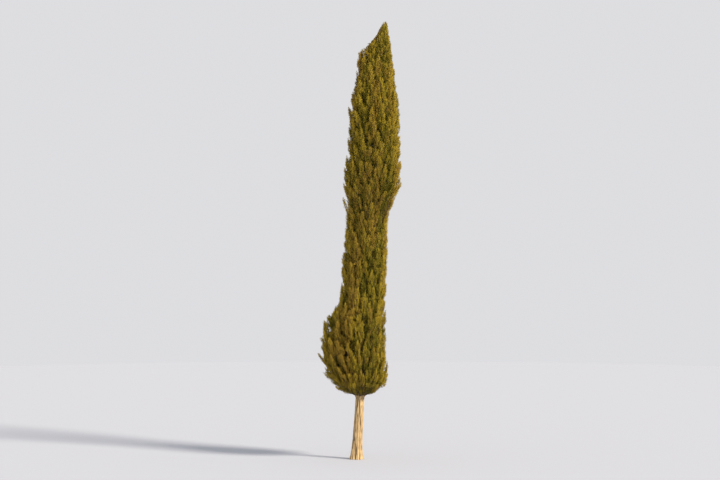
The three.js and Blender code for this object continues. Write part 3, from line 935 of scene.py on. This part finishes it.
for kind in young_kinds:
    shoots = young_shoots(kind)
    roots = np.array([shoot[0] for shoot in shoots])
    owners = np.where(roots[:, 2] > leader_first_row, len(plumes), plume_of(roots))
    starts = np.array([
        axis_at(min(root[2] - leader_twig_drop, leader_heart_top))
        if owner == len(plumes) else twig_start(plume_lines[owner], root)
        for owner, root in zip(owners, roots)
    ])
    rng = np.random.default_rng(kind.seed + 1)
    shoot = grown(shoots, starts, kind, rng)
    sprays += leafed(shoot, kind, owners, rng, lambda tips: tips[..., 2] > young_lowest)
    twigs.append((shoot, kind))

# Twigs
# The thin brown twigs and side twigs of all the shoots, three-sided at this size, with a fine grain. Each
# grows out of its stem or twig and tapers to a point, with its flat foot hidden in the wood.
side_twig_radius = 0.0035
twig_point_radius = 0.0012
side_twig_rows = 3
twig_material = bpy.data.materials.new("twig_bark")
twig_material.use_nodes = True
twig_nodes, twig_links = twig_material.node_tree.nodes, twig_material.node_tree.links
twig_shader = twig_nodes["Principled BSDF"]
twig_shader.inputs["Base Color"].default_value = (0.115, 0.07, 0.036, 1)
twig_shader.inputs["Roughness"].default_value = 0.8
twig_grain = twig_nodes.new("ShaderNodeTexNoise")
twig_grain.inputs["Scale"].default_value = 240
twig_bump = twig_nodes.new("ShaderNodeBump")
twig_bump.inputs["Strength"].default_value = 0.4
twig_bump.inputs["Distance"].default_value = 0.001
twig_links.new(twig_grain.outputs["Fac"], twig_bump.inputs["Height"])
twig_links.new(twig_bump.outputs["Normal"], twig_shader.inputs["Normal"])

foliage_nodes = [plume.name for plume in plumes] + ["leader_plume"]


def joined(parts):
    shift = np.cumsum([0] + [len(corners) for corners, _ in parts])[:-1]
    corners = np.concatenate([corners for corners, _ in parts])
    return corners, np.concatenate([faces + step for (_, faces), step in zip(parts, shift)])


# Three-sided twigs, several at a time, with a flat foot and a pointed end
def pointed_twigs(rings, points):
    count, rows = rings.shape[:2]
    corners = np.concatenate([rings.reshape(count, rows * 3, 3), points[:, None]], axis=1)
    faces = [[2, 1, 0]]
    for row in range(rows):
        for side in range(3):
            here, beside = 3 * row + side, 3 * row + (side + 1) % 3
            if row < rows - 1:
                faces += [[here, beside, beside + 3], [here, beside + 3, here + 3]]
            else:
                faces += [[here, beside, 3 * rows]]
    first = (3 * rows + 1) * np.arange(count)[:, None, None]
    return corners.reshape(-1, 3), (first + faces).reshape(-1, 3)


def twig_skins(lines, radius):
    radii = np.linspace(radius, twig_point_radius, lines.shape[1])
    rings = rings_round(lines, np.broadcast_to(radii, lines.shape[:2]), 3)
    return pointed_twigs(rings[:, :-1], lines[:, -1])


main_twigs, side_twigs = [], []
for shoot, kind in twigs:
    main_twigs.append(twig_skins(shoot.main, kind.twig_radius))
    lines = bezier(shoot.sides.reshape(-1, 3, 3), np.linspace(0, 1, side_twig_rows)[None])
    side_twigs.append(twig_skins(lines, side_twig_radius))
for name, parts in (("twigs", main_twigs), ("side_twigs", side_twigs)):
    corners, faces = joined(parts)
    piece = piece_from(name, corners, faces, twig_material, True)
    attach(piece, "root")
    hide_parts(*foliage_nodes)

# Sprays
# Each twig ends in soft sprays of scale leaves, flat forked branchlets round a thin green shoot. Young
# sprays at the tips are golden olive and older ones behind are darker. Those inside the crown are darkest,
# which is painted shade, and those on the crown's outer face are lighter, partly as painted light.
# All in lengths of the spray, and for a branchlet's own parts in lengths of the branchlet
axis_width = 0.045
axis_middle = 0.5
axis_fold = 0.015
branchlet_length = 0.54
branchlet_foot_size = 1.1
branchlet_shrink = 0.35
branchlet_spread = 0.3
branchlet_fold = 0.08
branchlet_middle = 0.42
branchlet_first = 0.06
branchlet_last = 0.80
splay_low = 0.75
splay_top = 0.34
branchlet_roll = 0.8
prong_aside = 0.33
prong_along = 0.74
prong_foot = 0.20
most_triangles = 195000
leaf_seed = 7
foliage_tones = {
    # The darkest tone is painted shade, given to the green sprays deep inside the crown
    "painted_shade_green": SimpleNamespace(colour=(0.180, 0.150, 0.014), branchlets=8, width=0.34, is_forked=False),
    "dark_olive": SimpleNamespace(colour=(0.225, 0.180, 0.014), branchlets=7, width=0.13, is_forked=True),
    "olive": SimpleNamespace(colour=(0.336, 0.252, 0.020), branchlets=7, width=0.13, is_forked=True),
    "golden_olive": SimpleNamespace(colour=(0.450, 0.325, 0.030), branchlets=7, width=0.13, is_forked=True),
    "brown_olive": SimpleNamespace(colour=(0.346, 0.226, 0.030), branchlets=7, width=0.13, is_forked=True),
}


# The corners of folded leaf shapes, each given by how far they lie aside, along and back
def leaf_corners(start, flat, pointing, back, size, outline):
    places = [
        start + (flat * aside + pointing * along + back * fold) * size
        for aside, along, fold in outline
    ]
    return np.stack(places, axis=-2).reshape(-1, 3)


def leaf_faces(count, corner_count, faces):
    return (corner_count * np.arange(count)[:, None, None] + faces).reshape(-1, 3)


# Each spray is a slim upright axis with branchlets all round it, each of these a slim folded shaft, which
# in all but the deepest tone has a prong on both sides
def spray_mesh(base, direction, length, tone, rng):
    count = len(base)
    side = unit(np.cross(direction, [0.0, 0.0, 1.0]) + [nearly_nothing, 0, 0])
    over = np.cross(side, direction)
    kite = [[0, 1, 2], [0, 2, 3]]
    half = axis_width / 2
    outline = [(0, 0, 0), (half, axis_middle, axis_fold), (0, 1, 0), (-half, axis_middle, axis_fold)]
    axes = leaf_corners(base, side, direction, over, length[:, None], outline), leaf_faces(count, 4, kite)

    number = np.arange(tone.branchlets)
    up = number / (tone.branchlets - 1)
    turn = golden_turn * number + 2 * np.pi * rng.random((count, 1))
    radial = side[:, None] * np.cos(turn)[..., None] + over[:, None] * np.sin(turn)[..., None]
    splay = splay_low + (splay_top - splay_low) * up
    splay = splay * (1 + branchlet_spread * (rng.random(turn.shape) - 0.5))
    pointing = direction[:, None] * np.cos(splay)[..., None] + radial * np.sin(splay)[..., None]
    flat = unit(np.cross(pointing, radial))
    back = np.cross(pointing, flat)
    roll = (branchlet_roll * (rng.random(turn.shape) - 0.5))[..., None]
    flat, back = flat * np.cos(roll) + back * np.sin(roll), back * np.cos(roll) - flat * np.sin(roll)
    size = branchlet_length * (1 + branchlet_spread * (rng.random(turn.shape) - 0.5))
    size = size * (branchlet_foot_size - branchlet_shrink * up)
    size = (length[:, None] * size)[..., None]
    start_share = branchlet_first + (branchlet_last - branchlet_first) * up
    start = base[:, None] + direction[:, None] * (length[:, None] * start_share)[..., None]
    half, middle, fold = tone.width / 2, branchlet_middle, branchlet_fold
    outline = [(0, 0, 0), (half, middle, fold), (0, 1, 0), (-half, middle, fold)]
    faces = list(kite)
    if tone.is_forked:
        inner = prong_foot / middle
        outline += [(half * inner, prong_foot, fold * inner), (prong_aside, prong_along, fold)]
        outline += [(-half * inner, prong_foot, fold * inner), (-prong_aside, prong_along, fold)]
        faces += [[4, 5, 1], [6, 3, 7]]
    branchlets = leaf_corners(start, flat, pointing, back, size, outline)
    return joined([axes, (branchlets, leaf_faces(count * tone.branchlets, len(outline), faces))])


def foliage_material(name, colour):
    material = bpy.data.materials.new(name)
    material.use_nodes = True
    nodes, links = material.node_tree.nodes, material.node_tree.links
    shader = nodes["Principled BSDF"]
    shader.inputs["Base Color"].default_value = (*colour, 1)
    shader.inputs["Specular IOR Level"].default_value = 0.15
    grain = nodes.new("ShaderNodeTexNoise")
    grain.inputs["Scale"].default_value = 160
    grain.inputs["Detail"].default_value = 3
    gloss = nodes.new("ShaderNodeMapRange")
    gloss.inputs["To Min"].default_value = 0.52
    gloss.inputs["To Max"].default_value = 0.78
    bump = nodes.new("ShaderNodeBump")
    bump.inputs["Strength"].default_value = 0.5
    bump.inputs["Distance"].default_value = 0.002
    links.new(grain.outputs["Fac"], gloss.inputs["Value"])
    links.new(gloss.outputs["Result"], shader.inputs["Roughness"])
    links.new(grain.outputs["Fac"], bump.inputs["Height"])
    links.new(bump.outputs["Normal"], shader.inputs["Normal"])
    return material


base, direction, length, spray_tone = (np.concatenate(part) for part in zip(*sprays))
for number, (name, tone) in enumerate(foliage_tones.items()):
    chosen = np.flatnonzero(spray_tone == number)
    spray_triangles = 2 + tone.branchlets * (4 if tone.is_forked else 2)
    material = foliage_material(name, tone.colour)
    part_count = math.ceil(len(chosen) * spray_triangles / most_triangles)
    for part, some in enumerate(np.array_split(chosen, part_count)):
        rng = np.random.default_rng([leaf_seed, number, part])
        corners, faces = spray_mesh(base[some], direction[some], length[some], tone, rng)
        piece = piece_from(f"sprays_{name}_{part + 1}", corners, faces, material, False)
        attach(piece, "root")
        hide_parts(*foliage_nodes)

# Floor
# A plain round studio floor with a matt pale finish, wide enough for the tree and its long shadow. The
# flat cut of the trunk stands on it.
floor_radius = 40
floor_sides = 128
floor_turn = 2 * np.pi * np.arange(floor_sides) / floor_sides
floor_edge = np.stack([np.cos(floor_turn), np.sin(floor_turn), np.zeros(floor_sides)], axis=1)
floor_corners = floor_radius * floor_edge
floor_material = bpy.data.materials.new("pale_floor")
floor_material.use_nodes = True
floor_shader = floor_material.node_tree.nodes["Principled BSDF"]
floor_shader.inputs["Base Color"].default_value = (0.44, 0.455, 0.505, 1)
floor_shader.inputs["Roughness"].default_value = 0.95
floor = piece_from("floor", floor_corners, np.arange(floor_sides)[None], floor_material, False)

# Light
# A low, warm, soft sun stands to the right and the front, so that the shoots throw small shadows on each
# other. An even pale studio sky fills them.
sun_turn = math.radians(54)
sun_height = math.radians(34)
sun_lamp = bpy.data.lights.new("sun", "SUN")
sun_lamp.energy = 5.1
sun_lamp.angle = math.radians(14)
sun_lamp.color = (1.0, 0.92, 0.78)
sun = bpy.data.objects.new("sun", sun_lamp)
sun.rotation_euler = (math.pi / 2 - sun_height, 0, sun_turn)
bpy.context.scene.collection.objects.link(sun)
world = bpy.data.worlds.new("studio")
world.use_nodes = True
world.node_tree.nodes["Background"].inputs["Color"].default_value = (0.97, 0.97, 1.0, 1)
world.node_tree.nodes["Background"].inputs["Strength"].default_value = 0.75
bpy.context.scene.world = world
bpy.context.scene.view_settings.view_transform = "Standard"

# Camera
# The view is nearly level and from far off, so that the tree shows its true outline. All of it is in the
# frame, with a little room above its tip and some floor before its foot.
camera_distance = 150
camera_height = math.radians(3)
frame_width = 720
tree_pixels = 440
aim = (np.array(cad_box[0]) + np.array(cad_box[1])) / 2
camera_data = bpy.data.cameras.new("camera")
camera_data.lens = camera_data.sensor_width * camera_distance * tree_pixels / (frame_width * tree_height)
camera_data.clip_end = 4 * camera_distance
camera = bpy.data.objects.new("camera", camera_data)
camera.location = aim + camera_distance * np.array([0, -math.cos(camera_height), math.sin(camera_height)])
camera.rotation_euler = (math.pi / 2 - camera_height, 0, 0)
bpy.context.scene.collection.objects.link(camera)
bpy.context.scene.camera = camera
